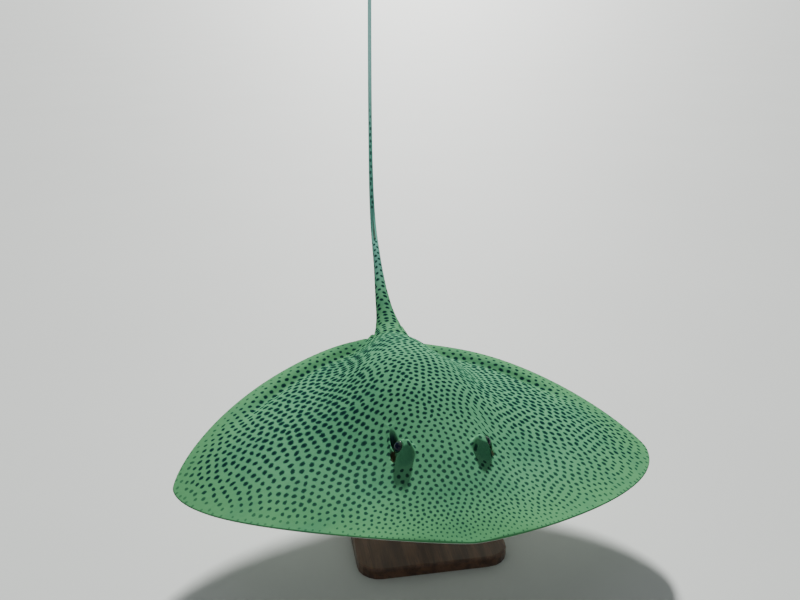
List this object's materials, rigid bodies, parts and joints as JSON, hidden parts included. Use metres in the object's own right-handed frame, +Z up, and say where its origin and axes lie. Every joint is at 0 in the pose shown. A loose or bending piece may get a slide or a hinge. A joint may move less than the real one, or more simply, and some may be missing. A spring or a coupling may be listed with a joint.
{
  "type": "reticulate whipray display model",
  "caption": "Life-size still model of a spotted whipray gliding with drooped wings and a long raised whip tail, held over a flat base by upright rods.",
  "frame": {"origin": "centre of the underside of the stand's base", "axes": "-Y towards the snout, +Y along the tail, +X the animal's left side, +Z up"},
  "size_m": [0.9825, 2.3702, 1.5781],
  "materials": {
    "skin": "smooth satin fish skin, sage green with dense dark blue-green spots above, white below",
    "horn": "ivory-coloured serrated spine of dentine",
    "eye": "glossy dark eye",
    "base_wood": "dark stained wood, satin lacquer",
    "rod_steel": "brushed stainless steel"
  },
  "bodies": {
    "root": {"head": "skin", "trunk": "skin", "pectoral_fin_left": "skin", "pectoral_fin_right": "skin", "pelvic_fin_left": "skin", "pelvic_fin_right": "skin", "tail_base": "skin", "tail_whip_1": "skin", "tail_whip_2": "skin", "tail_whip_3": "skin", "tail_spine": "horn", "eye_left": "eye", "eye_right": "eye", "stand_base": "base_wood", "stand_rod_front": "rod_steel", "stand_rod_rear": "rod_steel"}
  },
  "joints": []
}
